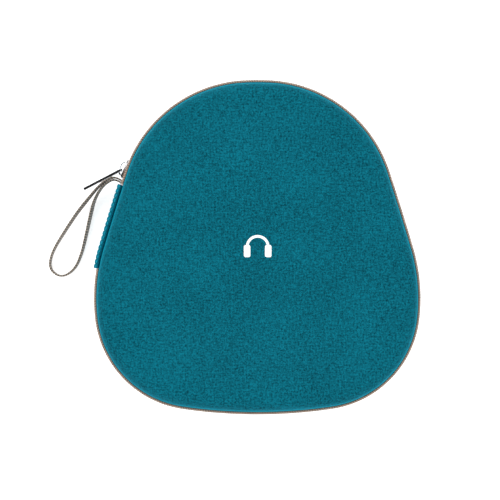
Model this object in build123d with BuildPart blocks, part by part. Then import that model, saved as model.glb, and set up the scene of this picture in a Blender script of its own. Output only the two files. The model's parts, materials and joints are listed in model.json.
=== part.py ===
"""Zippered hard-shell carry case for over-ear headphones.

Millimetres, +Z up. The closed case lies on the flat back of its lower shell, so z = 0 is that flat
and the zip line lies half way up. +Y points at the narrow end, and the spine is on the -X side.
The origin is on the plan's line of symmetry.
"""

from build123d import *
from math import cos, degrees, radians, sin, tan
import os

# ---------------------------------------------------------------- driving dimensions
case_depth = 50.0
zip_plane = case_depth / 2
shell_rim = 19.0  # height of each moulded shell at its rim
edge_radius = 10.0  # roll of each shell from its side wall to its flat

# Plan of the case: tangent arcs from the narrow end's crown down the right-hand side.
# Each is (radius, turn in degrees), and one more arc closes the broad end.
crown_y = 110.5
plan_arcs = ((192.4, 2.2), (86.2, 69.6), (1575.0, 1.9), (116.6, 22.7), (67.0, 75.2))
shoulder = 1  # the arc that the slider runs along
flank = 2  # the nearly straight arc that carries the spine

# Walls, as distances in from the widest line of the zip band.
cover_inset = 1.9
cover_thickness = 0.9
foam_thickness = 3.2
lining_thickness = 0.8
binding_thickness = 0.5
binding_skirt = 5.5

# Zip band.
tape_inset = 0.4
tape_thickness = 1.4
tape_low = 16.0
coil_low = 22.6
coil_high = 24.3
coil_thickness = 2.0
stop_proud = 0.1
cut_gap = 0.3  # left between pieces that meet end to end along the zip

# Spine.
spine_length = 56.8
spine_start = 9.0  # from the end of the shoulder arc to the spine's upper end
spine_proud = 1.8
spine_skin = 0.8
spine_board_thickness = 1.0
fold_height = 19.5
fold_gap = 0.35
hem_width = 4.0
board_setback = 1.0

# Slider and pull.
slider_length = 13.0
slider_setback = 1.5  # from the end of the shoulder arc to the slider's middle at rest
slider_width = 9.8
slider_plate = 1.3
slider_clearance = 0.3
crown_reach = 4.6
crown_metal = 1.2
crown_half = 5.2
crown_foot = 1.3
crown_width = 1.4
flange_width = 1.3
post_width = 0.8
post_length = 4.5
pull_length = 26.4
pull_width = 5.0
pull_thickness = 1.4
pull_droop = 12.0
pull_corner = 1.0
pin_radius = 0.6
window_start = 0.2
window_length = 7.0
window_width = 3.6
pull_heading = 207.0  # plan direction of the pull bar at rest, degrees from +X

# Wrist strap and the tab that its ends are sewn into.
strap_width = 8.0
strap_thickness = 0.9
tab_low = 10.0
tab_high = 20.0
tab_proud = 0.6
tab_width = 3.0

# Inside fittings.
divider_size = (19.0, 66.0, 15.5)
divider_centre = (0.0, -34.0)
hook_tape_thickness = 1.2
pocket_floor = 6.2  # from the lid's lining to the net
net_thickness = 0.8
pocket_mouth_y = -14.0
border_width = 3.0
elastic_width = 7.0
elastic_thickness = 1.4
divider_skin = 1.0

# Printed mark.
mark_centre = (0.2, 2.0)
mark_radius = 7.6
mark_line = 1.7
ear_pad = (4.2, 7.4)
ear_pad_corner = 1.4
ear_pad_rise = 1.0
ink_thickness = 0.2

# ---------------------------------------------------------------- worked-out dimensions
foam_inset = cover_inset + cover_thickness
lining_inset = foam_inset + foam_thickness
cavity_inset = lining_inset + lining_thickness
cavity_floor = cavity_inset - cover_inset

os.makedirs("parts", exist_ok=True)


def plan_chain():
    """Arcs of the right-hand half of the plan: centre x, centre y, radius, first heading, turn."""
    chain = []
    x, y, heading = 0.0, crown_y, 0.0
    for radius, turn in plan_arcs:
        centre_x = x - radius * sin(radians(heading))
        centre_y = y - radius * cos(radians(heading))
        chain.append((centre_x, centre_y, radius, heading, turn))
        heading += turn
        x = centre_x + radius * sin(radians(heading))
        y = centre_y + radius * cos(radians(heading))
    closing_radius = x / sin(radians(heading))
    centre_y = y - closing_radius * cos(radians(heading))
    chain.append((0.0, centre_y, closing_radius, heading, 180.0 - heading))
    return chain


chain = plan_chain()


def spine_side_point(arc, heading, inset=0.0):
    """Point of the plan on its left-hand side, at a heading on one of its arcs."""
    centre_x, centre_y, radius, _, _ = chain[arc]
    reach = radius - inset
    return (-(centre_x + reach * sin(radians(heading))), centre_y + reach * cos(radians(heading)))


def plan_face(inset):
    """Face bounded by the plan, moved in by the given distance."""
    with BuildSketch() as plan:
        with BuildLine():
            for centre_x, centre_y, radius, heading, turn in chain:
                CenterArc((centre_x, centre_y), radius - inset, 90.0 - heading, -turn)
            mirror(about=Plane.YZ)
        make_face()
    return plan.sketch


def plan_block(inset, low, high):
    """Solid of the plan between two heights."""
    with BuildPart() as block:
        with BuildSketch(Plane.XY.offset(low)):
            add(plan_face(inset))
        extrude(amount=high - low)
    return block.part


def band(outer_inset, inner_inset, low, high):
    """Ring that follows the plan between two insets and two heights."""
    with BuildPart() as ring:
        with BuildSketch(Plane.XY.offset(low)):
            add(plan_face(outer_inset))
            add(plan_face(inner_inset), mode=Mode.SUBTRACT)
        extrude(amount=high - low)
    return ring.part


def moulded_layer(inset, floor, thickness):
    """One layer of a moulded shell: an open tray with a rolled edge."""
    with BuildPart() as layer:
        add(plan_block(inset, floor, shell_rim))
        bottom = layer.faces().sort_by(Axis.Z)[0]
        fillet(bottom.edges(), edge_radius - floor)
        top = layer.faces().sort_by(Axis.Z)[-1]
        offset(amount=-thickness, openings=top)
    return layer.part


def turned_over(piece):
    """The same piece on the lid's side of the zip plane."""
    return mirror(piece, about=Plane.XY.offset(zip_plane), mode=Mode.PRIVATE)


# Spine frame: local x runs up along the spine, local y points out of the case.
spine_turn = (spine_start + spine_length / 2) / chain[flank][2]
spine_heading = chain[flank][3] + degrees(spine_turn)
spine_middle = spine_side_point(flank, spine_heading, -spine_proud)
spine_run = (cos(radians(spine_heading)), sin(radians(spine_heading)), 0)
spine_plane = Plane(origin=(*spine_middle, 0), x_dir=spine_run, z_dir=(0, 0, 1))
spine_end = spine_length / 2
print("hinge point", spine_middle, "hinge direction", spine_run)


wall_reach = 20.0  # how far such a block spans, from its own middle
wall_middle = -10.0


def run_block(low_run, high_run, low=0.0, high=case_depth):
    """Block across the wall at the spine, between two places along it and two heights."""
    with BuildPart() as block:
        with BuildSketch(spine_plane.offset(low)):
            with Locations(((low_run + high_run) / 2, wall_middle)):
                Rectangle(high_run - low_run, 2 * wall_reach)
        extrude(amount=high - low)
    return block.part


# Slider frame: origin on the zip line, local x along the zip towards the crown, local z outwards.
shoulder_end = chain[shoulder][3] + chain[shoulder][4]
slider_heading = shoulder_end - degrees(slider_setback / chain[shoulder][2])
slider_origin = spine_side_point(shoulder, slider_heading)
slider_axis = (-chain[shoulder][0], chain[shoulder][1])
slider_run = (cos(radians(slider_heading)), sin(radians(slider_heading)), 0)
slider_out = (-sin(radians(slider_heading)), cos(radians(slider_heading)), 0)
slider_face = Plane(origin=(*slider_origin, zip_plane), x_dir=slider_run, z_dir=slider_out)
slider_top = Plane(origin=(*slider_origin, zip_plane), x_dir=slider_run, z_dir=(0, 0, 1))
shoulder_radius = chain[shoulder][2]
print("slider at", slider_origin, "turns about", slider_axis)

# Places along the spine frame where the zip's end pieces change over.
tab_start = spine_end + cut_gap
tab_end = tab_start + tab_width
zip_start = tab_end + 0.2
stop_length = 1.8
zip_head = -spine_end - cut_gap
coil_head = -spine_end - 3.0
slider_tail = slider_face.from_local_coords(Vector(slider_length / 2 + 1.2, 0, 0))
split_run = spine_plane.to_local_coords(slider_tail).X
end_run = split_run - 0.4
seam_low = fold_height + 10.6  # height of the seam between the zip's end and the lid's tape
seam_high = seam_low + 0.7

# ---------------------------------------------------------------- moulded shells
layers = (
    ("cover", cover_inset, 0.0, cover_thickness),
    ("foam", foam_inset, cover_thickness, foam_thickness),
    ("lining", lining_inset, cover_thickness + foam_thickness, lining_thickness),
)
for layer_name, inset, floor, thickness in layers:
    with BuildPart() as base_layer:
        add(moulded_layer(inset, floor, thickness))
    base_layer.part.label = "base_" + layer_name
    export_step(base_layer.part, "parts/base_" + layer_name + ".step")

    with BuildPart() as lid_layer:
        add(turned_over(base_layer.part))
    lid_layer.part.label = "lid_" + layer_name
    export_step(lid_layer.part, "parts/lid_" + layer_name + ".step")

# Binding folded over each rim: a flat over the edge and a skirt down the lining.
with BuildPart() as base_binding:
    add(band(cover_inset, cavity_inset + binding_thickness, shell_rim, shell_rim + binding_thickness))
    add(band(cavity_inset, cavity_inset + binding_thickness, shell_rim - binding_skirt, shell_rim))
base_binding.part.label = "base_binding"
export_step(base_binding.part, "parts/base_binding.step")

with BuildPart() as lid_binding:
    add(turned_over(base_binding.part))
lid_binding.part.label = "lid_binding"
export_step(lid_binding.part, "parts/lid_binding.step")

# ---------------------------------------------------------------- zip band
tape_inner = tape_inset + tape_thickness
lid_tape_high = case_depth - tape_low
lid_coil_low = case_depth - coil_high
lid_coil_high = case_depth - coil_low

with BuildPart() as base_zip_tape:
    add(band(tape_inset, tape_inner, tape_low, coil_low))
    add(run_block(zip_head, tab_start), mode=Mode.SUBTRACT)
    add(run_block(spine_end, zip_start, 0.0, tab_high + cut_gap), mode=Mode.SUBTRACT)
base_zip_tape.part.label = "base_zip_tape"
export_step(base_zip_tape.part, "parts/base_zip_tape.step")

with BuildPart() as base_zip_coil:
    add(band(0.0, coil_thickness, coil_low, coil_high))
    add(run_block(coil_head, zip_start), mode=Mode.SUBTRACT)
base_zip_coil.part.label = "base_zip_coil"
export_step(base_zip_coil.part, "parts/base_zip_coil.step")

with BuildPart() as lid_zip_tape:
    add(band(tape_inset, tape_inner, lid_coil_high, lid_tape_high))
    add(run_block(zip_head, tab_start), mode=Mode.SUBTRACT)
    add(run_block(-spine_end, split_run, 0.0, seam_high), mode=Mode.SUBTRACT)
lid_zip_tape.part.label = "lid_zip_tape"
export_step(lid_zip_tape.part, "parts/lid_zip_tape.step")

with BuildPart() as lid_zip_coil:
    add(band(0.0, coil_thickness, lid_coil_low, lid_coil_high))
    add(run_block(coil_head, split_run), mode=Mode.SUBTRACT)
lid_zip_coil.part.label = "lid_zip_coil"
export_step(lid_zip_coil.part, "parts/lid_zip_coil.step")

# The last stretch of the lid's side of the zip, which stays with the slider when the lid opens.
with BuildPart() as zip_end_tape:
    add(band(tape_inset, tape_inner, lid_coil_high, seam_low))
    add(run_block(tab_start, end_run), mode=Mode.INTERSECT)
zip_end_tape.part.label = "zip_end_tape"
export_step(zip_end_tape.part, "parts/zip_end_tape.step")

with BuildPart() as zip_end_coil:
    add(band(0.0, coil_thickness, lid_coil_low, lid_coil_high))
    add(run_block(zip_start, end_run), mode=Mode.INTERSECT)
zip_end_coil.part.label = "zip_end_coil"
export_step(zip_end_coil.part, "parts/zip_end_coil.step")

# Crimped stops on the two coils beside the slider, and the moulded box where the zip begins.
with BuildPart() as zip_top_stops:
    add(band(-stop_proud, coil_thickness + stop_proud, coil_low, coil_high))
    add(band(-stop_proud, coil_thickness + stop_proud, lid_coil_low, lid_coil_high))
    add(run_block(tab_end - stop_length, tab_end), mode=Mode.INTERSECT)
zip_top_stops.part.label = "zip_top_stops"
export_step(zip_top_stops.part, "parts/zip_top_stops.step")

with BuildPart() as zip_bottom_stop:
    add(band(-stop_proud, coil_thickness + stop_proud, coil_low, zip_plane - stop_proud))
    add(run_block(coil_head + 0.1, zip_head - 0.1), mode=Mode.INTERSECT)
zip_bottom_stop.part.label = "zip_bottom_stop"
export_step(zip_bottom_stop.part, "parts/zip_bottom_stop.step")

# ---------------------------------------------------------------- spine
upper_fold = case_depth - fold_height
board_outer = -spine_proud + spine_skin
board_inner = board_outer + spine_board_thickness

with BuildPart() as spine_cover:
    add(band(-spine_proud, board_outer, fold_height + fold_gap, upper_fold - fold_gap))
    add(run_block(-spine_end, spine_end), mode=Mode.INTERSECT)
spine_cover.part.label = "spine_cover"
export_step(spine_cover.part, "parts/spine_cover.step")

with BuildPart() as spine_board:
    add(band(board_outer, board_inner, fold_height + board_setback, upper_fold - board_setback))
    add(run_block(board_setback - spine_end, spine_end - board_setback), mode=Mode.INTERSECT)
spine_board.part.label = "spine_board"
export_step(spine_board.part, "parts/spine_board.step")

with BuildPart() as spine_lining:
    add(band(board_inner, board_inner + spine_skin, fold_height + fold_gap, upper_fold - fold_gap))
    add(run_block(-spine_end, spine_end), mode=Mode.INTERSECT)
spine_lining.part.label = "spine_lining"
export_step(spine_lining.part, "parts/spine_lining.step")

# Hems of the spine strip, sewn down on each shell's wall.
with BuildPart() as base_spine_hem:
    add(band(-spine_proud, cover_inset, fold_height - hem_width, fold_height - fold_gap))
    add(run_block(-spine_end, spine_end), mode=Mode.INTERSECT)
base_spine_hem.part.label = "base_spine_hem"
export_step(base_spine_hem.part, "parts/base_spine_hem.step")

with BuildPart() as lid_spine_hem:
    add(turned_over(base_spine_hem.part))
lid_spine_hem.part.label = "lid_spine_hem"
export_step(lid_spine_hem.part, "parts/lid_spine_hem.step")

# ---------------------------------------------------------------- slider
channel_outer = shoulder_radius + slider_clearance
channel_inner = shoulder_radius - coil_thickness - slider_clearance
nose_run = 0.5  # where the outline starts to narrow
nose_taper = 1.5
plate_corner = 1.4
slack = 0.1

with BuildPart() as slider_body:
    # Both plates and their flanges are rings about the shoulder's centre.
    with BuildSketch(Plane.XY.offset(zip_plane - slider_width / 2)):
        with Locations(slider_axis):
            Circle(channel_outer + slider_plate)
            Circle(channel_inner - slider_plate, mode=Mode.SUBTRACT)
    extrude(amount=slider_width)
    # Room for the coils between the plates.
    with BuildSketch(Plane.XY.offset(zip_plane - slider_width / 2 + flange_width)):
        with Locations(slider_axis):
            Circle(channel_outer)
            Circle(channel_inner, mode=Mode.SUBTRACT)
    extrude(amount=slider_width - 2 * flange_width, mode=Mode.SUBTRACT)
    # Slots between the flanges, where the tapes leave.
    with BuildSketch(Plane.XY.offset(zip_plane - slider_width / 2)):
        with Locations(slider_axis):
            Circle(shoulder_radius - tape_inset + slider_clearance)
            Circle(shoulder_radius - tape_inner - slider_clearance, mode=Mode.SUBTRACT)
    extrude(amount=slider_width, mode=Mode.SUBTRACT)
    # The post that joins the plates, in the slit between the coils.
    with BuildSketch(Plane.XY.offset(zip_plane - post_width / 2)):
        with Locations(slider_axis):
            Circle(channel_outer + slider_plate / 2)
            Circle(channel_inner - slider_plate / 2, mode=Mode.SUBTRACT)
    extrude(amount=post_width)
    # Outline of the slider seen from outside: broad at the nose, narrower at the tail.
    with BuildSketch(slider_face):
        with BuildLine():
            Polyline(
                (-slider_length / 2, -slider_width / 2),
                (-slider_length / 2, slider_width / 2),
                (nose_run, slider_width / 2),
                (slider_length / 2, slider_width / 2 - nose_taper),
                (slider_length / 2, -slider_width / 2 + nose_taper),
                (nose_run, -slider_width / 2),
                close=True,
            )
        make_face()
        fillet(vertices(), plate_corner)
    extrude(amount=slider_length, both=True, mode=Mode.INTERSECT)
    # The post is only at the nose half, so the rest of it is cleared again.
    cleared = slider_length - post_length
    with BuildSketch(slider_top.offset(-post_width / 2 - slack)):
        with Locations(((slider_length + slack) / 2 - cleared / 2, -coil_thickness / 2)):
            Rectangle(cleared + slack, coil_thickness + 2 * slider_clearance - slack)
    extrude(amount=post_width + 2 * slack, mode=Mode.SUBTRACT)
slider_body.part.label = "slider_body"
export_step(slider_body.part, "parts/slider_body.step")

# Crown: an arch along the slider, which holds the pull.
crown_base = slider_clearance + slider_plate
crown_low = crown_base - 0.3
crown_spring = crown_base + 0.2
eye_half = crown_half - crown_foot
eye_low = crown_base - slack
with BuildPart() as slider_crown:
    with BuildSketch(slider_top.offset(-crown_width / 2)):
        with BuildLine():
            Line((-crown_half, crown_low), (crown_half, crown_low))
            Line((crown_half, crown_low), (crown_half, crown_spring))
            ThreePointArc((crown_half, crown_spring), (0, crown_reach), (-crown_half, crown_spring))
            Line((-crown_half, crown_spring), (-crown_half, crown_low))
        make_face()
        with BuildLine():
            Line((-eye_half, eye_low), (eye_half, eye_low))
            ThreePointArc((eye_half, eye_low), (0, crown_reach - crown_metal), (-eye_half, eye_low))
        make_face(mode=Mode.SUBTRACT)
    extrude(amount=crown_width)
    add(slider_body.part, mode=Mode.SUBTRACT)
slider_crown.part.label = "slider_crown"
export_step(slider_crown.part, "parts/slider_crown.step")

# ---------------------------------------------------------------- pull
pivot_run = -1.2
pivot_out = crown_base + slider_clearance + pin_radius
pivot = slider_top.from_local_coords(Vector(pivot_run, pivot_out, 0))
print("pull pivot", pivot)
pull_run = (
    cos(radians(pull_heading)) * cos(radians(pull_droop)),
    sin(radians(pull_heading)) * cos(radians(pull_droop)),
    -sin(radians(pull_droop)),
)
pull_side = (-sin(radians(pull_heading)), cos(radians(pull_heading)), 0)
pull_plane = Plane(origin=pivot, x_dir=pull_run, z_dir=pull_side)

with BuildPart() as pull_bar:
    # Flat bar with rounded ends and a window that the crown passes through.
    with BuildSketch(pull_plane.offset(-pull_thickness / 2)):
        with Locations((pull_length / 2 + window_start, 0)):
            RectangleRounded(pull_length, pull_width, pull_corner)
        with Locations((window_start + window_length / 2 - pull_corner, 0)):
            Rectangle(window_length + 2 * pull_corner, window_width, mode=Mode.SUBTRACT)
    extrude(amount=pull_thickness)
    # Cross pin at the pivot, upright like the axis that it turns about.
    with BuildSketch(Plane(origin=pivot, z_dir=(0, 0, 1)).offset(-pull_width / 2)):
        Circle(pin_radius)
    extrude(amount=pull_width)
pull_bar.part.label = "pull_bar"
export_step(pull_bar.part, "parts/pull_bar.step")

# ---------------------------------------------------------------- wrist strap
# Sewn end of the strap, between the spine and the zip's end.
with BuildPart() as strap_tab:
    add(band(-tab_proud, cover_inset, tab_low, tab_high))
    add(run_block(tab_start, tab_end), mode=Mode.INTERSECT)
strap_tab.part.label = "strap_tab"
export_step(strap_tab.part, "parts/strap_tab.step")

# Centre line of the ribbon: out of the tab, down to the table and round its loop.
strap_route = (
    (-88.6, 43.7, 15.0),
    (-92.2, 46.2, 14.6),
    (-96.9, 45.2, 13.0),
    (-102.0, 40.9, 10.2),
    (-106.1, 33.2, 7.0),
    (-108.4, 22.0, 4.9),
    (-110.5, 9.2, 4.4),
    (-113.3, -2.6, 4.3),
    (-118.6, -13.4, 4.3),
    (-127.2, -18.9, 4.3),
    (-135.0, -13.2, 4.3),
    (-133.6, -2.6, 4.3),
    (-126.7, 9.9, 4.4),
    (-117.6, 24.2, 5.1),
    (-109.3, 36.4, 7.4),
    (-103.2, 43.8, 10.2),
    (-97.4, 47.9, 13.0),
    (-91.8, 48.2, 14.6),
    (-88.2, 45.0, 15.0),
)


def corner_radii(route):
    """Radius of the arc at each corner: as large as its two runs allow."""
    radii = []
    points = [Vector(*point) for point in route]
    for before, corner, after in zip(points, points[1:], points[2:]):
        shorter = min((corner - before).length, (after - corner).length)
        half_turn = radians((corner - before).get_angle(after - corner)) / 2
        radii.append(0.45 * shorter / tan(half_turn))
    return radii


strap_radii = corner_radii(strap_route)
print("strap corner radii", [round(radius, 1) for radius in strap_radii])
first_run = Vector(*strap_route[1]) - Vector(*strap_route[0])
strap_side = first_run.cross(Vector(0, 0, 1))
with BuildPart() as wrist_strap:
    with BuildLine() as strap_path:
        FilletPolyline(*strap_route, radius=strap_radii)
    with BuildSketch(Plane(origin=strap_route[0], x_dir=strap_side, z_dir=first_run)):
        Rectangle(strap_thickness, strap_width)
    sweep(path=strap_path.line)
wrist_strap.part.label = "wrist_strap"
export_step(wrist_strap.part, "parts/wrist_strap.step")
strap_length = sum(edge.length for edge in strap_path.edges())
strap_volume = strap_width * strap_thickness * strap_length
print("strap length", strap_length, "volume", wrist_strap.part.volume, "expected", strap_volume)

# ---------------------------------------------------------------- inside the base
divider_x, divider_y = divider_centre
divider_wide, divider_long, divider_high = divider_size
divider_base = cavity_floor + hook_tape_thickness
hook_setback = (2.5, 6.0)
cover_roll = 5.0

with BuildPart() as divider_hook_tape:
    with BuildSketch(Plane.XY.offset(cavity_floor)):
        with Locations((divider_x, divider_y)):
            hook_wide = divider_wide - 2 * hook_setback[0]
            hook_long = divider_long - 2 * hook_setback[1]
            RectangleRounded(hook_wide, hook_long, 2.0)
    extrude(amount=hook_tape_thickness)
divider_hook_tape.part.label = "divider_hook_tape"
export_step(divider_hook_tape.part, "parts/divider_hook_tape.step")

with BuildPart() as divider_core:
    with BuildSketch(Plane.XY.offset(divider_base + divider_skin)):
        with Locations((divider_x, divider_y)):
            SlotOverall(divider_long - 2 * divider_skin, divider_wide - 2 * divider_skin, rotation=90)
    extrude(amount=divider_high - 2 * divider_skin)
    fillet(divider_core.faces().sort_by(Axis.Z)[-1].edges(), cover_roll - divider_skin)
divider_core.part.label = "divider_core"
export_step(divider_core.part, "parts/divider_core.step")

with BuildPart() as divider_cover:
    with BuildSketch(Plane.XY.offset(divider_base)):
        with Locations((divider_x, divider_y)):
            SlotOverall(divider_long, divider_wide, rotation=90)
    extrude(amount=divider_high)
    fillet(divider_cover.faces().sort_by(Axis.Z)[-1].edges(), cover_roll)
    add(divider_core.part, mode=Mode.SUBTRACT)
divider_cover.part.label = "divider_cover"
export_step(divider_cover.part, "parts/divider_cover.step")

# ---------------------------------------------------------------- inside the lid
net_high = case_depth - cavity_floor - pocket_floor
net_low = net_high - net_thickness
pocket_inset = cavity_inset + binding_thickness + 1.5


def below_mouth(mouth_y):
    """Block over the part of the plan that is below the pocket's mouth."""
    with BuildPart() as block:
        with BuildSketch(Plane.XY):
            with Locations((0, mouth_y - crown_y)):
                Rectangle(4 * crown_y, 2 * crown_y)
        extrude(amount=case_depth)
    return block.part


# The rolled edge of the lid's lining leaves the pocket's border room only further in.
roll_inset = pocket_inset + edge_radius - cavity_floor
with BuildPart() as pocket_net:
    add(plan_block(roll_inset + border_width, net_low, net_high))
    add(below_mouth(pocket_mouth_y - elastic_width), mode=Mode.INTERSECT)
pocket_net.part.label = "pocket_net"
export_step(pocket_net.part, "parts/pocket_net.step")

with BuildPart() as pocket_border:
    add(band(roll_inset, roll_inset + border_width, net_low, case_depth - cavity_floor))
    add(below_mouth(pocket_mouth_y), mode=Mode.INTERSECT)
pocket_border.part.label = "pocket_border"
export_step(pocket_border.part, "parts/pocket_border.step")

elastic_low = (net_low + net_high - elastic_thickness) / 2
with BuildPart() as pocket_elastic:
    add(plan_block(roll_inset + border_width, elastic_low, elastic_low + elastic_thickness))
    add(below_mouth(pocket_mouth_y), mode=Mode.INTERSECT)
    add(below_mouth(pocket_mouth_y - elastic_width), mode=Mode.SUBTRACT)
pocket_elastic.part.label = "pocket_elastic"
export_step(pocket_elastic.part, "parts/pocket_elastic.step")

# ---------------------------------------------------------------- printed mark
with BuildPart() as lid_mark:
    with BuildSketch(Plane.XY.offset(case_depth)):
        # Headband: the upper half of a ring.
        with Locations(mark_centre):
            Circle(mark_radius)
            Circle(mark_radius - mark_line, mode=Mode.SUBTRACT)
        with Locations((mark_centre[0], mark_centre[1] - mark_radius)):
            Rectangle(3 * mark_radius, 2 * mark_radius, mode=Mode.SUBTRACT)
        # Ear pads hanging from its two ends.
        for side in (-1, 1):
            pad_x = mark_centre[0] + side * (mark_radius - mark_line / 2)
            with Locations((pad_x, mark_centre[1] - ear_pad[1] / 2 + ear_pad_rise)):
                RectangleRounded(*ear_pad, ear_pad_corner)
    extrude(amount=ink_thickness)
lid_mark.part.label = "lid_mark"
export_step(lid_mark.part, "parts/lid_mark.step")

print("cavity floor", cavity_floor, "inset", cavity_inset, "net", net_low, net_high)
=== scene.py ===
"""Zippered hard-shell carry case for over-ear headphones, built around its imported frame."""

import json
import math

import bmesh
import bpy
from bpy.props import FloatProperty, FloatVectorProperty, PointerProperty
from bpy.types import Operator, Panel, PropertyGroup
from mathutils import Matrix, Vector


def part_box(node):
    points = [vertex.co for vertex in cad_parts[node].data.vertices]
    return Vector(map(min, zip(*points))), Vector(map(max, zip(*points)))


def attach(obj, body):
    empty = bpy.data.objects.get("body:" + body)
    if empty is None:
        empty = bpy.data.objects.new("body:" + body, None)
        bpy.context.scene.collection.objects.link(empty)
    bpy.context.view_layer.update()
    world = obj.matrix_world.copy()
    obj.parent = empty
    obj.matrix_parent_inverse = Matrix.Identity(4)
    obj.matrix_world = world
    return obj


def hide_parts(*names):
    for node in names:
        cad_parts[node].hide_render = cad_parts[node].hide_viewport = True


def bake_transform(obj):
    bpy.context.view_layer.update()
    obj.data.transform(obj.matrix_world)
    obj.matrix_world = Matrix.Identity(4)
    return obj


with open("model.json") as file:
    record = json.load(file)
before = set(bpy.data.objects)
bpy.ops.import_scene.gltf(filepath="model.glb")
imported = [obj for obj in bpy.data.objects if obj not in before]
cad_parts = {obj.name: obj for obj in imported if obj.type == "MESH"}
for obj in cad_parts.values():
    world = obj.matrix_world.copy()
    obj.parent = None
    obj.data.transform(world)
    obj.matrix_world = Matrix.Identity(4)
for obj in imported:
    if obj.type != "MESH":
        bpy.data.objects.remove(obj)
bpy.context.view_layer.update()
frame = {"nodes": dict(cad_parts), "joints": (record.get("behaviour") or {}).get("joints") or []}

bl_info = {
    "name": "Headphone carry case",
    "version": (1, 0, 0),
    "blender": (4, 5, 0),
    "location": "3D View > Sidebar > Carry case",
    "description": "Adds the parts of a zipped headphone case one by one",
    "category": "Object",
}

MM = 0.001
JOINTS = {joint["name"]: joint for joint in frame["joints"]}
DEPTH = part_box("lid_cover")[1].z
ZIP_PLANE = DEPTH / 2

# Plan of the case: tangent arcs (radius, turn in degrees) clockwise from the narrow end's crown.
CROWN_Y = 110.5 * MM
PLAN_ARCS = (
    (192.4 * MM, 2.2),
    (86.2 * MM, 69.6),
    (1575.0 * MM, 1.9),
    (116.6 * MM, 22.7),
    (67.0 * MM, 75.2),
)

# Wrist strap: the control points of its centre line, from its sewn end and back to it.
STRAP_ROUTE = (
    (-88.6, 43.7, 15.0),
    (-92.2, 46.2, 14.6),
    (-96.9, 45.2, 13.0),
    (-102.4, 40.7, 10.2),
    (-107.0, 33.0, 7.0),
    (-109.8, 22.0, 4.9),
    (-112.6, 9.2, 4.4),
    (-115.4, -2.6, 4.3),
    (-120.1, -13.2, 4.3),
    (-129.0, -18.4, 4.3),
    (-136.9, -12.6, 4.3),
    (-135.3, -2.2, 4.3),
    (-127.8, 10.4, 4.4),
    (-118.4, 24.6, 5.1),
    (-109.4, 35.6, 7.4),
    (-103.4, 42.3, 10.2),
    (-97.4, 46.9, 13.0),
    (-91.9, 47.7, 14.6),
    (-88.2, 45.0, 15.0),
)


def srgb(red, green, blue):
    """Linear colour of a display colour given from 0 to 255."""
    shades = []
    for value in (red, green, blue):
        value /= 255.0
        shades.append(value / 12.92 if value <= 0.04045 else ((value + 0.055) / 1.055) ** 2.4)
    return tuple(shades)


# ---------------------------------------------------------------- the sizes and colours to change


def length_property(name, description, default):
    return FloatProperty(
        name=name, description=description, default=default, min=0.0, unit="LENGTH", precision=5
    )


def colour_property(name, description, default):
    return FloatVectorProperty(
        name=name, description=description, default=default, size=3, min=0.0, max=1.0, subtype="COLOR"
    )


class CaseSizes(PropertyGroup):
    crown_drop: length_property("Crown", "How far the lid falls from its middle to its roll", 1.1 * MM)
    roll: length_property("Roll", "Radius of the lid's rolled edge", 9.6 * MM)
    thread: length_property("Thread", "Width of one thread of the shell's fabric", 0.9 * MM)
    coil_pitch: length_property("Coil pitch", "Distance between the turns of the zip coil", 1.3 * MM)
    coil_wire: length_property("Coil wire", "Thickness of the zip coil's monofilament", 0.55 * MM)
    stitch: length_property("Stitch", "Length of one stitch", 2.6 * MM)
    strap_width: length_property("Strap width", "Width of the wrist strap's ribbon", 8.0 * MM)
    strap_lean: FloatProperty(
        name="Strap lean", description="How far the loop's legs lean to the spine", default=math.radians(9.0),
        subtype="ANGLE",
    )
    strap_thickness: length_property("Strap thickness", "Thickness of the ribbon", 1.1 * MM)
    camera_height: length_property("Camera height", "Height of the camera over the zip line", 1.6)


class CaseColours(PropertyGroup):
    fabric_dark: colour_property("Fabric, dark thread", "Darker thread of the shell", srgb(2, 53, 64))
    fabric_light: colour_property("Fabric, light thread", "Lighter thread of the shell", srgb(10, 109, 128))
    tape: colour_property("Zip tape", "Woven tape of the zip", srgb(154, 131, 116))
    coil: colour_property("Zip coil", "Monofilament of the zip", srgb(138, 124, 114))
    strap: colour_property("Strap", "Ribbon of the wrist strap", srgb(122, 112, 101))
    lining: colour_property("Lining", "Brushed knit inside", srgb(62, 66, 71))
    metal: colour_property("Metal", "Chrome of the slider", (0.86, 0.87, 0.88))
    ink: colour_property("Ink", "Print on the lid", srgb(236, 240, 240))


# ---------------------------------------------------------------- the plan line


def plan_line():
    """Arcs all the way round, clockwise: (centre x, centre y, radius, first heading, turn)."""
    right = []
    x, y, heading = 0.0, CROWN_Y, 0.0
    for radius, turn in PLAN_ARCS:
        centre = (x - radius * math.sin(math.radians(heading)), y - radius * math.cos(math.radians(heading)))
        right.append((*centre, radius, heading, turn))
        heading += turn
        x = centre[0] + radius * math.sin(math.radians(heading))
        y = centre[1] + radius * math.cos(math.radians(heading))
    closing = x / math.sin(math.radians(heading))
    right.append((0.0, y - closing * math.cos(math.radians(heading)), closing, heading, 180.0 - heading))
    left = [(-cx, cy, radius, 360.0 - h - turn, turn) for cx, cy, radius, h, turn in reversed(right)]
    return right + left


LINE = plan_line()
LINE_LENGTHS = [radius * math.radians(turn) for _, _, radius, _, turn in LINE]
ROUND = sum(LINE_LENGTHS)

# Distances along the plan line, clockwise from the crown.
SHOULDER = ROUND - LINE_LENGTHS[-1] - LINE_LENGTHS[-2]
SPINE_HIGH = SHOULDER - 9.0 * MM
SPINE_LOW = SPINE_HIGH - 56.8 * MM
SLIDER = SHOULDER + 1.5 * MM
ZIP_FROM = SPINE_HIGH + 3.5 * MM
ZIP_SPLIT = SLIDER + 7.9 * MM
ZIP_TO = SPINE_LOW - 0.3 * MM + ROUND


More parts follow.
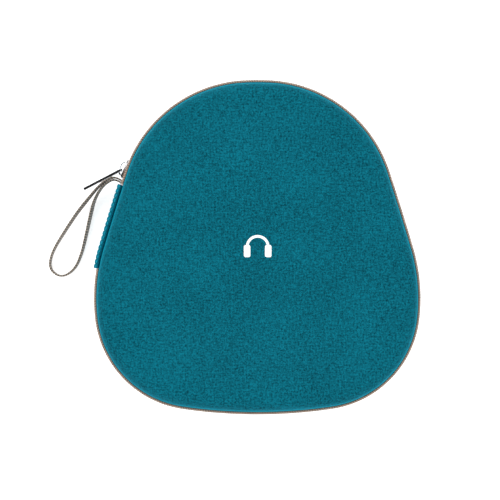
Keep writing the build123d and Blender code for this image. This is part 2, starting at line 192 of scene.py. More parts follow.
def place(distance):
    """Frame on the plan line: x runs clockwise, y points out of the case, z is up."""
    distance %= ROUND
    for (centre_x, centre_y, radius, heading, _), length in zip(LINE, LINE_LENGTHS):
        if distance <= length:
            break
        distance -= length
    angle = math.radians(heading) + distance / radius
    run = Vector((math.cos(angle), -math.sin(angle), 0.0))
    out = Vector((math.sin(angle), math.cos(angle), 0.0))
    at = Vector((centre_x, centre_y, 0.0)) + radius * out
    return Matrix((
        (run.x, out.x, 0.0, at.x),
        (run.y, out.y, 0.0, at.y),
        (0.0, 0.0, 1.0, 0.0),
        (0.0, 0.0, 0.0, 1.0),
    ))


def stops(first, last, step):
    """Evenly spaced distances from first to last."""
    count = max(2, round((last - first) / step))
    return [first + (last - first) * i / count for i in range(count + 1)]


# ---------------------------------------------------------------- mesh helpers


def new_piece(name, bm, material, body=None, replaced=(), smooth_angle=40.0):
    """Turns a bmesh into a finished piece of the object."""
    mesh = bpy.data.meshes.new(name)
    bm.to_mesh(mesh)
    bm.free()
    for polygon in mesh.polygons:
        polygon.use_smooth = True
    if smooth_angle:
        mesh.set_sharp_from_angle(angle=math.radians(smooth_angle))
    return adopt(bpy.data.objects.new(name, mesh), material, body, replaced)


def adopt(piece, material, body, replaced):
    """Links a piece, gives it its material, hangs it on its body and hides the frame's parts it replaces."""
    bpy.context.scene.collection.objects.link(piece)
    piece.data.materials.append(material)
    if body:
        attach(piece, body)
    if replaced:
        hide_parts(*replaced)
    return piece


def extruded(bm, edges):
    """Grows a new row from the edges: its vertices and its edges."""
    grown = bmesh.ops.extrude_edge_only(bm, edges=edges)["geom"]
    fresh = {item for item in grown if isinstance(item, bmesh.types.BMVert)}
    row = [item for item in grown if isinstance(item, bmesh.types.BMEdge) and fresh.issuperset(item.verts)]
    return fresh, row


def sweep(bm, section, distances, closed=True, ends=True):
    """Draws a section of (out, up) points along the plan line, with a UV map in metres."""
    order = bm.verts.layers.int.new("order")
    along = bm.verts.layers.float.new("along")
    across = bm.verts.layers.float.new("across")
    ring = []
    reach = 0.0
    for i, (out, up) in enumerate(section):
        if i:
            reach += math.dist(section[i], section[i - 1])
        vert = bm.verts.new(place(distances[0]) @ Vector((0.0, out, up)))
        vert[order], vert[along], vert[across] = i, distances[0], reach
        ring.append(vert)
    girth = reach + math.dist(section[0], section[-1])
    edges = [bm.edges.new(pair) for pair in zip(ring, ring[1:])]
    if closed:
        edges.append(bm.edges.new((ring[-1], ring[0])))
    for distance in distances[1:]:
        fresh, edges = extruded(bm, edges)
        here = place(distance)
        for vert in fresh:
            out, up = section[vert[order]]
            vert.co = here @ Vector((0.0, out, up))
            vert[along] = distance
    span = distances[-1] - distances[0]
    if abs(span - ROUND) < 1e-6:
        bmesh.ops.remove_doubles(bm, verts=bm.verts, dist=1e-7)
    elif ends and closed:
        bmesh.ops.holes_fill(bm, edges=bm.edges, sides=len(section))
    uv = bm.loops.layers.uv.new("UVMap")
    for face in bm.faces:
        far_along = max(vert[along] for vert in face.verts)
        far_across = max(vert[across] for vert in face.verts)
        for loop in face.loops:
            u, v = loop.vert[along], loop.vert[across]
            if far_along - u > ROUND / 2:
                u += ROUND
            if closed and far_across - v > girth / 2:
                v += girth
            loop[uv].uv = (u, v)
    bmesh.ops.recalc_face_normals(bm, faces=bm.faces)
    return order, along, across


def turned(section, side):
    """A section drawn for the lid, put on the side asked for."""
    if side == "lid":
        return section
    return [(out, DEPTH - up) for out, up in section]


def block(bm, outline, low, high, bevel, segments=2):
    """Extrudes an (x, y) outline along z and rounds every edge."""
    verts = [bm.verts.new((x, y, low)) for x, y in outline]
    face = bm.faces.new(verts)
    grown = bmesh.ops.extrude_face_region(bm, geom=[face])["geom"]
    top = [item for item in grown if isinstance(item, bmesh.types.BMVert)]
    bmesh.ops.translate(bm, verts=top, vec=(0, 0, high - low))
    made = set(verts + top)
    edges = [edge for edge in bm.edges if edge.verts[0] in made and edge.verts[1] in made]
    bmesh.ops.recalc_face_normals(bm, faces=list({f for v in made for f in v.link_faces}))
    if bevel:
        sharp = [edge for edge in edges if edge.calc_face_angle(0.0) > math.radians(30)]
        done = bmesh.ops.bevel(
            bm, geom=sharp, offset=bevel, offset_type="OFFSET", segments=segments, profile=0.5,
            affect="EDGES", material=-1, clamp_overlap=True,
        )
        made = {vert for vert in made if vert.is_valid} | set(done["verts"])
    return list(made)


def wire(name, points, radius, closed=False):
    """Mesh of a round thread drawn along a line of points."""
    curve = bpy.data.curves.new(name, "CURVE")
    curve.dimensions = "3D"
    curve.bevel_depth = radius
    curve.bevel_resolution = 1
    curve.use_fill_caps = True
    spline = curve.splines.new("POLY")
    spline.points.add(len(points) - 1)
    spline.use_cyclic_u = closed
    for point, at in zip(spline.points, points):
        point.co = (*at, 1.0)
    carrier = bpy.data.objects.new(name, curve)
    bpy.context.scene.collection.objects.link(carrier)
    mesh = bpy.data.meshes.new_from_object(carrier)
    bpy.data.objects.remove(carrier)
    bpy.data.curves.remove(curve)
    mesh.materials.clear()
    for polygon in mesh.polygons:
        polygon.use_smooth = True
    return mesh


# ---------------------------------------------------------------- shader helpers


def add_node(tree, kind, **settings):
    """New node with its settings, where a name such as in_2 sets the input of that number."""
    node = tree.nodes.new(kind)
    for key, value in settings.items():
        if key.startswith("in_"):
            node.inputs[int(key[3:])].default_value = value
        else:
            setattr(node, key, value)
    return node


def group_sockets(tree, inputs, outputs):
    for name, default in inputs:
        kind = "NodeSocketVector" if default is None else "NodeSocketFloat"
        socket = tree.interface.new_socket(name, in_out="INPUT", socket_type=kind)
        if default is not None:
            socket.default_value = default
    for name in outputs:
        tree.interface.new_socket(name, in_out="OUTPUT", socket_type="NodeSocketFloat")
    return tree.nodes.new("NodeGroupInput"), tree.nodes.new("NodeGroupOutput")


def stretched_noise(tree, vector, scale, detail=2.0, roughness=0.55):
    """Noise drawn out along the axes by the given scales."""
    mapping = add_node(tree, "ShaderNodeMapping")
    mapping.inputs["Scale"].default_value = scale
    noise = add_node(tree, "ShaderNodeTexNoise", noise_dimensions="3D")
    noise.inputs["Scale"].default_value = 1.0
    noise.inputs["Detail"].default_value = detail
    noise.inputs["Roughness"].default_value = roughness
    tree.links.new(vector, mapping.inputs["Vector"])
    tree.links.new(mapping.outputs["Vector"], noise.inputs["Vector"])
    return noise.outputs["Fac"]


def math_node(tree, operation, first, second=None, third=None):
    node = add_node(tree, "ShaderNodeMath", operation=operation)
    for i, value in enumerate((first, second, third)):
        if value is None:
            continue
        if isinstance(value, (int, float)):
            node.inputs[i].default_value = value
        else:
            tree.links.new(value, node.inputs[i])
    return node.outputs[0]


def make_melange_group():
    """Plain weave of uneven threads: how light each thread is, and how high."""
    tree = bpy.data.node_groups.new("melange weave", "ShaderNodeTree")
    source, sink = group_sockets(tree, (("Vector", None), ("Threads", 1100.0)), ("Shade", "Height"))
    vector = source.outputs["Vector"]
    warp = stretched_noise(tree, vector, (900.0, 190.0, 1.0), 3.0, 0.65)
    weft = stretched_noise(tree, vector, (210.0, 940.0, 1.0), 3.0, 0.65)
    fleck = stretched_noise(tree, vector, (820.0, 820.0, 1.0), 2.0, 0.8)
    split = add_node(tree, "ShaderNodeSeparateXYZ")
    tree.links.new(vector, split.inputs[0])
    turns = math_node(tree, "MULTIPLY", source.outputs["Threads"], math.pi)
    wave_x = math_node(tree, "SINE", math_node(tree, "MULTIPLY", split.outputs[0], turns))
    wave_y = math_node(tree, "SINE", math_node(tree, "MULTIPLY", split.outputs[1], turns))
    over = math_node(tree, "MULTIPLY", wave_x, wave_y)
    pick = math_node(tree, "MULTIPLY_ADD", over, 0.5, 0.5)
    mix = add_node(tree, "ShaderNodeMix", data_type="FLOAT")
    tree.links.new(pick, mix.inputs[0])
    tree.links.new(warp, mix.inputs[2])
    tree.links.new(weft, mix.inputs[3])
    shade = math_node(tree, "MULTIPLY_ADD", mix.outputs[0], 0.5, math_node(tree, "MULTIPLY", fleck, 0.5))
    tree.links.new(shade, sink.inputs["Shade"])
    high_x = math_node(tree, "ABSOLUTE", wave_x)
    high_y = math_node(tree, "ABSOLUTE", wave_y)
    height = math_node(tree, "MULTIPLY", high_x, high_y)
    height = math_node(tree, "MULTIPLY_ADD", mix.outputs[0], 0.8, height)
    tree.links.new(height, sink.inputs["Height"])
    return tree


def make_rib_group():
    """Woven tape or ribbon: ribs across it and a herringbone of fine threads between them."""
    tree = bpy.data.node_groups.new("ribbed weave", "ShaderNodeTree")
    inputs = (("Vector", None), ("Ribs", 900.0), ("Slant", 0.5))
    source, sink = group_sockets(tree, inputs, ("Shade", "Height"))
    vector = source.outputs["Vector"]
    split = add_node(tree, "ShaderNodeSeparateXYZ")
    tree.links.new(vector, split.inputs[0])
    lean = math_node(tree, "MULTIPLY", split.outputs[1], 320.0)
    zigzag = math_node(tree, "PINGPONG", lean, 1.0)
    shift = math_node(tree, "MULTIPLY", zigzag, source.outputs["Slant"])
    turns = math_node(tree, "MULTIPLY_ADD", split.outputs[0], source.outputs["Ribs"], shift)
    wave = math_node(tree, "SINE", math_node(tree, "MULTIPLY", turns, 2.0 * math.pi))
    rib = math_node(tree, "MULTIPLY_ADD", wave, 0.5, 0.5)
    noise = stretched_noise(tree, vector, (900.0, 2600.0, 1.0), 2.0)
    shade = math_node(tree, "MULTIPLY_ADD", rib, 0.65, math_node(tree, "MULTIPLY", noise, 0.35))
    tree.links.new(shade, sink.inputs["Shade"])
    tree.links.new(math_node(tree, "MULTIPLY_ADD", noise, 0.5, rib), sink.inputs["Height"])
    return tree


def make_grain_group():
    """Fine grain and faint scuffs for moulded and polished surfaces."""
    tree = bpy.data.node_groups.new("fine grain", "ShaderNodeTree")
    source, sink = group_sockets(tree, (("Vector", None), ("Grain", 1500.0)), ("Shade", "Height"))
    vector = source.outputs["Vector"]
    grain = add_node(tree, "ShaderNodeTexNoise", noise_dimensions="3D")
    grain.inputs["Detail"].default_value = 3.0
    tree.links.new(vector, grain.inputs["Vector"])
    tree.links.new(source.outputs["Grain"], grain.inputs["Scale"])
    scuff = stretched_noise(tree, vector, (90.0, 700.0, 700.0), 4.0)
    shade = math_node(tree, "MULTIPLY_ADD", grain.outputs["Fac"], 0.4, math_node(tree, "MULTIPLY", scuff, 0.6))
    tree.links.new(shade, sink.inputs["Shade"])
    tree.links.new(grain.outputs["Fac"], sink.inputs["Height"])
    return tree


def shader(name, group, source, values=(), colours=None, stretch=(0.3, 0.7), rough=(0.8, 0.9),
           bump=0.0, metallic=0.0, sheen=0.0, sheen_tint=(1, 1, 1), specular=0.5, patches=0.0, wall=None):
    """Material whose colour, roughness and bump follow one of the shared patterns."""
    material = bpy.data.materials.new(name)
    material.use_nodes = True
    tree = material.node_tree
    principled = tree.nodes["Principled BSDF"]
    coordinates = add_node(tree, "ShaderNodeTexCoord")
    pattern = add_node(tree, "ShaderNodeGroup", node_tree=bpy.data.node_groups[group])
    tree.links.new(coordinates.outputs[source], pattern.inputs["Vector"])
    for key, value in values:
        pattern.inputs[key].default_value = value
    ramp = add_node(tree, "ShaderNodeMapRange")
    ramp.inputs["From Min"].default_value, ramp.inputs["From Max"].default_value = stretch
    tree.links.new(pattern.outputs["Shade"], ramp.inputs["Value"])
    mix = add_node(tree, "ShaderNodeMix", data_type="RGBA")
    mix.inputs[6].default_value = (*colours[0], 1.0)
    mix.inputs[7].default_value = (*colours[1], 1.0)
    factor = ramp.outputs["Result"]
    if patches:
        cloud = stretched_noise(tree, coordinates.outputs["Object"], (26.0, 26.0, 26.0), 3.0)
        drift = math_node(tree, "MULTIPLY_ADD", cloud, patches, -patches / 2)
        factor = math_node(tree, "ADD", factor, drift)
    tree.links.new(factor, mix.inputs[0])
    colour = mix.outputs[2]
    if wall:
        # Painted highlight: down the rolled wall towards the zip line, the cloth's colour is mixed towards a
        # lighter teal that stands in for light grazing the edge.
        split = add_node(tree, "ShaderNodeSeparateXYZ")
        tree.links.new(coordinates.outputs["Object"], split.inputs[0])
        off_middle = math_node(tree, "ABSOLUTE", math_node(tree, "SUBTRACT", split.outputs[2], ZIP_PLANE))
        reach = add_node(tree, "ShaderNodeMapRange", interpolation_type="SMOOTHSTEP")
        reach.inputs["From Min"].default_value = ZIP_PLANE - 4.0 * MM
        reach.inputs["From Max"].default_value = ZIP_PLANE - 13.0 * MM
        reach.inputs["To Max"].default_value = 0.75
        tree.links.new(off_middle, reach.inputs["Value"])
        painted_rim_highlight = add_node(tree, "ShaderNodeMix", data_type="RGBA")
        painted_rim_highlight.inputs[7].default_value = (*wall, 1.0)
        tree.links.new(reach.outputs["Result"], painted_rim_highlight.inputs[0])
        tree.links.new(colour, painted_rim_highlight.inputs[6])
        colour = painted_rim_highlight.outputs[2]
    tree.links.new(colour, principled.inputs["Base Color"])
    rough_range = add_node(tree, "ShaderNodeMapRange")
    rough_range.inputs["To Min"].default_value, rough_range.inputs["To Max"].default_value = rough
    tree.links.new(pattern.outputs["Shade"], rough_range.inputs["Value"])
    tree.links.new(rough_range.outputs["Result"], principled.inputs["Roughness"])
    principled.inputs["Metallic"].default_value = metallic
    principled.inputs["Specular IOR Level"].default_value = specular
    principled.inputs["Sheen Weight"].default_value = sheen
    principled.inputs["Sheen Roughness"].default_value = 0.35
    principled.inputs["Sheen Tint"].default_value = (*sheen_tint, 1.0)
    if bump:
        bumped = add_node(tree, "ShaderNodeBump")
        bumped.inputs["Strength"].default_value = 1.0
        bumped.inputs["Distance"].default_value = bump
        tree.links.new(pattern.outputs["Height"], bumped.inputs["Height"])
        tree.links.new(bumped.outputs["Normal"], principled.inputs["Normal"])
    return material


def open_mesh(material, pitch=2.4 * MM, thread=0.36):
    """Cuts round holes in rows through a material, with every second row set over by half."""
    tree = material.node_tree
    coordinates = add_node(tree, "ShaderNodeTexCoord")
    split = add_node(tree, "ShaderNodeSeparateXYZ")
    tree.links.new(coordinates.outputs["Object"], split.inputs[0])
    turn = 2.0 * math.pi / pitch
    wave_x = math_node(tree, "COSINE", math_node(tree, "MULTIPLY", split.outputs[0], turn))
    wave_y = math_node(tree, "COSINE", math_node(tree, "MULTIPLY", split.outputs[1], turn))
    peak = math_node(tree, "ADD", wave_x, wave_y)
    solid = math_node(tree, "LESS_THAN", math_node(tree, "ABSOLUTE", peak), thread * 2.0)
    tree.links.new(solid, tree.nodes["Principled BSDF"].inputs["Alpha"])


def shade_of(colour, factor):
    return tuple(min(1.0, channel * factor) for channel in colour)


def finishes():
    """All of the object's finishes by name, made once."""
    if "shell fabric" in bpy.data.materials:
        return bpy.data.materials
    make_melange_group()
    make_rib_group()
    make_grain_group()
    colours = bpy.context.scene.case_colours
    threads = 1.0 / bpy.context.scene.case_sizes.thread
    # The wall colour given here is a painted highlight on the shell's rolled edge: a lighter teal with no red.
    shader("shell fabric", "melange weave", "UV", (("Threads", threads),),
           (colours.fabric_dark, colours.fabric_light), (0.39, 0.61), (0.8, 0.95), 0.00015,
           sheen=0.03, sheen_tint=srgb(0, 150, 190), specular=0.03, patches=0.4,
           wall=(0.0, *shade_of(colours.fabric_light, 1.65)[1:]))
    shader("spine fabric", "melange weave", "UV", (("Threads", threads),),
           (shade_of(colours.fabric_dark, 1.3), shade_of(colours.fabric_light, 1.35)), (0.34, 0.62),
           (0.8, 0.95), 0.00015, sheen=0.06, sheen_tint=srgb(0, 150, 190), specular=0.06, patches=0.2)
    shader("zip tape", "ribbed weave", "UV", (("Ribs", 620.0), ("Slant", 0.8)),
           (shade_of(colours.tape, 0.5), shade_of(colours.tape, 1.3)), (0.2, 0.8), (0.7, 0.9), 0.00015,
           sheen=0.15, specular=0.3)
    shader("strap webbing", "ribbed weave", "UV", (("Ribs", 560.0), ("Slant", 0.0)),
           (shade_of(colours.strap, 0.3), shade_of(colours.strap, 1.7)), (0.2, 0.8), (0.6, 0.85),
           0.00025, sheen=0.2, specular=0.35)
    shader("zip coil", "fine grain", "Object", (("Grain", 900.0),),
           (shade_of(colours.coil, 0.8), shade_of(colours.coil, 1.2)), (0.3, 0.7), (0.32, 0.48), 0.00001)
    shader("chrome", "fine grain", "Object", (("Grain", 2500.0),),
           (shade_of(colours.metal, 0.93), colours.metal), (0.3, 0.7), (0.05, 0.13), 0.000002, metallic=1.0)
    shader("stop metal", "fine grain", "Object", (("Grain", 2500.0),),
           (srgb(138, 130, 122), srgb(176, 168, 160)), (0.3, 0.7), (0.3, 0.45), 0.00001, metallic=0.6)
    shader("lining knit", "melange weave", "Object", (("Threads", 1300.0),),
           (shade_of(colours.lining, 0.6), shade_of(colours.lining, 1.5)), (0.35, 0.65), (0.85, 0.98),
           0.00010, sheen=0.5, sheen_tint=srgb(150, 160, 170), specular=0.15, patches=0.3)
    shader("binding grosgrain", "ribbed weave", "Object", (("Ribs", 1200.0), ("Slant", 0.2)),
           (srgb(24, 26, 29), srgb(62, 66, 70)), (0.2, 0.8), (0.7, 0.85), 0.00008, sheen=0.2)
    shader("stitch thread", "fine grain", "Object", (("Grain", 3000.0),),
           (srgb(20, 132, 154), srgb(30, 158, 182)), (0.3, 0.7), (0.8, 0.9), 0.00002, specular=0.05)
    shader("tape thread", "fine grain", "Object", (("Grain", 3000.0),),
           (srgb(164, 140, 124), srgb(206, 178, 158)), (0.3, 0.7), (0.6, 0.8), 0.00002, sheen=0.3)
    shader("print ink", "melange weave", "Object", (("Threads", threads),),
           (shade_of(colours.ink, 0.94), colours.ink), (0.3, 0.7), (0.45, 0.6), 0.00003, specular=0.4)
    net = shader("pocket net", "fine grain", "Object", (("Grain", 3000.0),),
                 (srgb(26, 28, 30), srgb(58, 62, 66)), (0.3, 0.7), (0.6, 0.8))
    open_mesh(net)
    shader("elastic ribbing", "ribbed weave", "Object", (("Ribs", 1500.0), ("Slant", 0.0)),
           (srgb(20, 22, 24), srgb(56, 60, 64)), (0.2, 0.8), (0.7, 0.85), 0.00010, sheen=0.2)
    shader("board", "fine grain", "Object", (("Grain", 1200.0),),
           (srgb(30, 30, 31), srgb(48, 48, 50)), (0.3, 0.7), (0.5, 0.65), 0.00001)
    return bpy.data.materials


# ---------------------------------------------------------------- operators


class CASE_OT_stage(Operator):
    """Add the floor, the light and the camera over the case"""

    bl_idname = "carry_case.stage"
    bl_label = "Stage"

    def execute(self, context):
        scene = context.scene
        scene.view_settings.view_transform = "Standard"
        bm = bmesh.new()
        bmesh.ops.create_grid(bm, x_segments=2, y_segments=2, size=3.0)
        mesh = bpy.data.meshes.new("floor")
        bm.to_mesh(mesh)
        bm.free()
        floor = bpy.data.objects.new("floor", mesh)
        scene.collection.objects.link(floor)
        floor_paint = bpy.data.materials.new("floor paint")
        floor_paint.use_nodes = True
        principled = floor_paint.node_tree.nodes["Principled BSDF"]
        principled.inputs["Base Color"].default_value = (0.93, 0.93, 0.93, 1.0)
        principled.inputs["Roughness"].default_value = 0.9
        principled.inputs["Specular IOR Level"].default_value = 0.1
        principled.inputs["Emission Color"].default_value = (1.0, 1.0, 1.0, 1.0)
        principled.inputs["Emission Strength"].default_value = 0.55
        floor.data.materials.append(floor_paint)

        world = bpy.data.worlds.new("studio")
        world.use_nodes = True
        tree = world.node_tree
        background = tree.nodes["Background"]
        coordinates = add_node(tree, "ShaderNodeTexCoord")
        split = add_node(tree, "ShaderNodeSeparateXYZ")
        tree.links.new(coordinates.outputs["Generated"], split.inputs[0])
        # Gloss sees a bright screen on the zip's side of the case and a dark one across from it.
        toward = math_node(tree, "MULTIPLY_ADD", split.outputs[0], -0.35, -0.37)
        toward = math_node(tree, "MULTIPLY_ADD", split.outputs[1], 0.85, toward)
        toward = math_node(tree, "MULTIPLY_ADD", split.outputs[2], 0.25, toward)
        band = add_node(tree, "ShaderNodeMapRange")
        band.inputs["From Min"].default_value = -0.06
        band.inputs["From Max"].default_value = 0.08
        band.inputs["To Min"].default_value = 0.02
        tree.links.new(toward, band.inputs["Value"])
        off_strip = math_node(tree, "ABSOLUTE", math_node(tree, "SUBTRACT", split.outputs[2], 0.14))
        strip = add_node(tree, "ShaderNodeMapRange")
        strip.inputs["From Min"].default_value = 0.08
        strip.inputs["From Max"].default_value = 0.14
        strip.inputs["To Min"].default_value = 0.08
        tree.links.new(off_strip, strip.inputs["Value"])
        gloss = math_node(tree, "MULTIPLY", band.outputs["Result"], strip.outputs["Result"])
        rays = add_node(tree, "ShaderNodeLightPath")
        seen = add_node(tree, "ShaderNodeMix", data_type="FLOAT")
        seen.inputs[2].default_value = 1.0
        tree.links.new(rays.outputs["Is Glossy Ray"], seen.inputs[0])
        tree.links.new(gloss, seen.inputs[3])
        background.inputs["Color"].default_value = (1.0, 1.0, 1.0, 1.0)
        tree.links.new(seen.outputs[0], background.inputs["Strength"])
        scene.world = world

        middle = Vector((0.0, 0.0, ZIP_PLANE))
        lamps = (
            ("key softbox", (-0.55, 0.65, 0.95), 0.9, 6.5),
            ("fill softbox", (0.8, 0.2, 0.8), 0.9, 3.0),
            ("front softbox", (0.1, -0.9, 0.7), 0.8, 3.0),
        )
        for name, at, size, power in lamps:
            light = bpy.data.lights.new(name, "AREA")
            light.size = size
            light.energy = power
            lamp = bpy.data.objects.new(name, light)
            lamp.location = at
            lamp.rotation_euler = (middle - Vector(at)).to_track_quat("-Z", "Y").to_euler()
            scene.collection.objects.link(lamp)

        # Straight over the face, a little to the strap's side of the case's line of symmetry.
        view_width = 325.0 * MM
        camera = bpy.data.cameras.new("camera")
        camera.sensor_width = 36.0
        height = context.scene.case_sizes.camera_height
        camera.lens = camera.sensor_width * height / view_width
        camera.clip_end = 20.0
        viewer = bpy.data.objects.new("camera", camera)
        viewer.location = (-4.7 * MM, 0.0, ZIP_PLANE + height)
        scene.collection.objects.link(viewer)
        scene.camera = viewer
        return {"FINISHED"}


class CASE_OT_strap(Operator):
    """Add the wrist strap: a ribbed ribbon folded into a loop and sewn at the spine's upper end"""

    bl_idname = "carry_case.strap"
    bl_label = "Wrist strap"

    def execute(self, context):
        sizes = context.scene.case_sizes
        route = bpy.data.curves.new("strap route", "CURVE")
        route.dimensions = "3D"
        route.resolution_u = 16
        spline = route.splines.new("NURBS")
        spline.points.add(len(STRAP_ROUTE) - 1)
        for point, (x, y, z) in zip(spline.points, STRAP_ROUTE):
            point.co = (x * MM, y * MM, z * MM, 1.0)
        spline.order_u = 3
        spline.use_endpoint_u = True
        carrier = bpy.data.objects.new("strap route", route)
        context.scene.collection.objects.link(carrier)
        traced = bpy.data.meshes.new_from_object(carrier)
        path = [vert.co.copy() for vert in traced.vertices]
        bpy.data.objects.remove(carrier)
        bpy.data.meshes.remove(traced)

        half_width = sizes.strap_width / 2
        half_thickness = sizes.strap_thickness / 2
        selvedge = 0.25 * MM
        section = (
            (half_width, half_thickness - selvedge), (half_width - selvedge, half_thickness),
            (0.0, half_thickness), (selvedge - half_width, half_thickness),
            (-half_width, half_thickness - selvedge), (-half_width, selvedge - half_thickness),
            (selvedge - half_width, -half_thickness), (0.0, -half_thickness),
            (half_width - selvedge, -half_thickness), (half_width, selvedge - half_thickness),
        )
        bm = bmesh.new()
        order = bm.verts.layers.int.new("order")
        along = bm.verts.layers.float.new("along")
        edges = []
        walked = 0.0
        whole = sum((b - a).length for a, b in zip(path, path[1:]))
        for i, point in enumerate(path):
            ahead = path[min(i + 1, len(path) - 1)] - path[max(i - 1, 0)]
            walked += (point - path[i - 1]).length if i else 0.0
            side = ahead.cross(Vector((0, 0, 1))).normalized()
            up = side.cross(ahead).normalized()
            share = math.pi * min(1.0, walked / whole)
            lean = sizes.strap_lean * math.cos(share) * min(1.0, 3.0 * math.sin(share) ** 2)
            turn = Matrix.Rotation(lean, 3, ahead)
            side, up = turn @ side, turn @ up
            corners = [point + up * high + side * wide for high, wide in section]
            if i == 0:
                ring = []
                for j, corner in enumerate(corners):
                    vert = bm.verts.new(corner)
                    vert[order], vert[along] = j, walked
                    ring.append(vert)
                edges = [bm.edges.new((ring[j - 1], ring[j])) for j in range(len(ring))]
                continue
            fresh, edges = extruded(bm, edges)
            for vert in fresh:
                vert.co = corners[vert[order]]
                vert[along] = walked
        bmesh.ops.holes_fill(bm, edges=bm.edges, sides=len(section))
        uv = bm.loops.layers.uv.new("UVMap")
        for face in bm.faces:
            for loop in face.loops:
                high, wide = section[loop.vert[order]]
                loop[uv].uv = (loop.vert[along], high)
        bmesh.ops.recalc_face_normals(bm, faces=bm.faces)
        strap = new_piece(
            "strap_ribbon", bm, finishes()["strap webbing"], "base", ("wrist_strap",)
        )
        return {"FINISHED"}


def shell_section(drop, roll):
    """Section of a shell's skin, drawn for the lid: from under the rim up to the end of its roll."""
    section = [(-5.2 * MM, 31.0 * MM), (-2.5 * MM, 31.0 * MM), (-2.1 * MM, 31.15 * MM)]
    section += [(-1.98 * MM, 31.6 * MM), (-2.1 * MM, 33.5 * MM), (-2.5 * MM, 36.5 * MM)]
    top = DEPTH - drop
    steps = 12
    for i in range(steps + 1):
        angle = math.radians(90.0 * i / steps)
        out = -3.0 * MM - roll * (1.0 - math.cos(angle))
        section.append((out, top - roll * (1.0 - math.sin(angle))))
    return section


def moulded(section, way, drop):
    """A moulded tray: the section swept round the plan, then rings drawn in to its middle."""
    bm = bmesh.new()
    order, along, across = sweep(bm, section, stops(0.0, ROUND, 2.6 * MM), closed=False)
    last = len(section) - 1
    rolled = sum(math.dist(a, b) for a, b in zip(section, section[1:]))
    # The cloth is laid flat over the crown and carried on down the wall.
    uv = bm.loops.layers.uv["UVMap"]
    for face in bm.faces:
        for loop in face.loops:
            here = place(loop.vert[along])
            flat = here @ Vector((0.0, section[last][0] + rolled - loop.vert[across], 0.0))
            loop[uv].uv = flat.xy
    edges = [edge for edge in bm.edges if all(v[order] == last for v in edge.verts)]
    heart = Vector((0.0, -8.0 * MM))
    edge_height = section[last][1]
    whole = 1.0
    for share in (0.985, 0.95, 0.88, 0.78, 0.64, 0.48, 0.32, 0.16, 0.04):
        fresh, edges = extruded(bm, edges)
        for vert in fresh:
            vert.co.xy = heart + (vert.co.xy - heart) * share / whole
            vert.co.z = edge_height + way * drop * (1.0 - share ** 2)
        whole = share
        for face in {face for vert in fresh for face in vert.link_faces}:
            for loop in face.loops:
                loop[uv].uv = loop.vert.co.xy
    (middle,) = bmesh.ops.holes_fill(bm, edges=edges, sides=0)["faces"]
    for loop in middle.loops:
        loop[uv].uv = loop.vert.co.xy
    bmesh.ops.recalc_face_normals(bm, faces=bm.faces)
    return bm, middle


class CASE_OT_shells(Operator):
    """Add the two moulded shells with their fabric skins"""

    bl_idname = "carry_case.shells"
    bl_label = "Moulded shells"

    def execute(self, context):
        sizes = context.scene.case_sizes
        for side, drop, way in (("lid", sizes.crown_drop, 1.0), ("base", 0.0, -1.0)):
            bm, middle = moulded(turned(shell_section(drop, sizes.roll), side), way, drop)
            if middle.normal.z * way < 0:
                bmesh.ops.reverse_faces(bm, faces=bm.faces)
            shell = new_piece(
                side + "_shell", bm, finishes()["shell fabric"], side,
                (side + "_cover", side + "_foam"), smooth_angle=60.0,
            )
            wall = shell.modifiers.new("wall", "SOLIDIFY")
            wall.thickness = 2.4 * MM
            wall.offset = -1.0
        return {"FINISHED"}


class CASE_OT_linings(Operator):
    """Add the knit linings and the bindings folded over both rims"""

    bl_idname = "carry_case.linings"
    bl_label = "Linings and bindings"

    def execute(self, context):
        inset = 6.75 * MM
        roll = 5.0 * MM
        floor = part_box("lid_lining")[1].z - 0.75 * MM
        section = [(-inset, 31.0 * MM), (-inset, 33.5 * MM), (-inset, 37.0 * MM)]
        for i in range(9):
            angle = math.radians(90.0 * i / 8)
            section.append((-inset - roll * (1.0 - math.cos(angle)), floor - roll * (1.0 - math.sin(angle))))
        rim = [
            (-1.95, 31.1), (-2.0, 30.75), (-2.4, 30.52), (-4.4, 30.45), (-6.6, 30.5), (-7.15, 30.7),
            (-7.3, 31.1), (-7.3, 33.8), (-7.2, 36.4), (-6.85, 36.5), (-6.8, 33.8), (-6.7, 31.1),
        ]
        rim = [(out * MM, up * MM) for out, up in rim]
        for side, way in (("lid", 1.0), ("base", -1.0)):
            bm, middle = moulded(turned(section, side), way, 0.0)
            if middle.normal.z * way > 0:
                bmesh.ops.reverse_faces(bm, faces=bm.faces)
            lining = new_piece(
                side + "_knit", bm, finishes()["lining knit"], side,
                (side + "_lining",), smooth_angle=60.0,
            )
            cloth = lining.modifiers.new("cloth", "SOLIDIFY")
            cloth.thickness = 0.6 * MM
            cloth.offset = -1.0
            bm = bmesh.new()
            sweep(bm, turned(rim, side), stops(0.0, ROUND, 2.6 * MM))
            new_piece(
                side + "_rim_binding", bm, finishes()["binding grosgrain"], side,
                (side + "_binding",), smooth_angle=50.0,
            )
        return {"FINISHED"}


